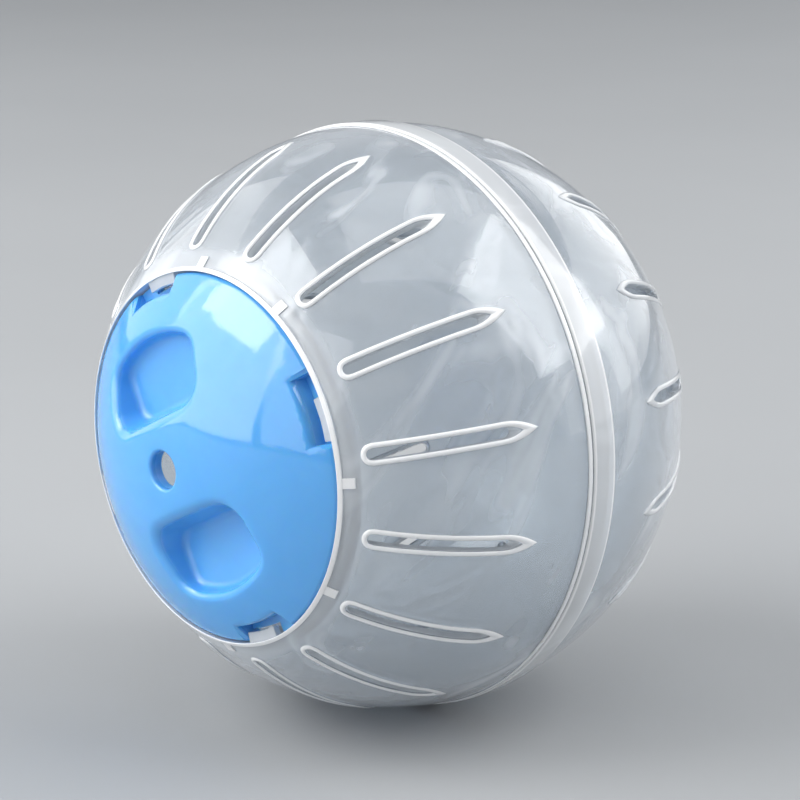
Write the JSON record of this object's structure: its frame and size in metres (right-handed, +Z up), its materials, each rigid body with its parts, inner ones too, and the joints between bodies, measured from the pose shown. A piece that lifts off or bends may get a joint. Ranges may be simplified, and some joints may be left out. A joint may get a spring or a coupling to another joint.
{
  "type": "hamster ball",
  "caption": "Hollow clear exercise ball for a small pet: slotted half shells joined at a seam band, and a domed lid with finger recesses that drops into a round door and turns to lock.",
  "frame": {"origin": "centre of the ball", "axes": "+Z up with the ball standing on its seam band, -Y out of the door through the middle of the lid, +Y through the rear half's pole"},
  "size_m": [0.121, 0.1196, 0.121],
  "materials": {
    "clear_plastic": "clear moulded plastic, polished, with a faint cool tint",
    "blue_plastic": "opaque sky-blue moulded plastic, glossy"
  },
  "bodies": {
    "front_half": {"front_half": "clear_plastic"},
    "rear_half": {"rear_half": "clear_plastic"},
    "lid": {"lid": "blue_plastic"}
  },
  "joints": [
    {"name": "lid_lift", "type": "slide", "parent": "front_half", "child": "lid", "axis": [0, -1, 0], "range_m": [0, 0.06]},
    {"name": "seam_pull", "type": "slide", "parent": "front_half", "child": "rear_half", "axis": [0, 1, 0], "range_m": [0, 0.06]}
  ]
}
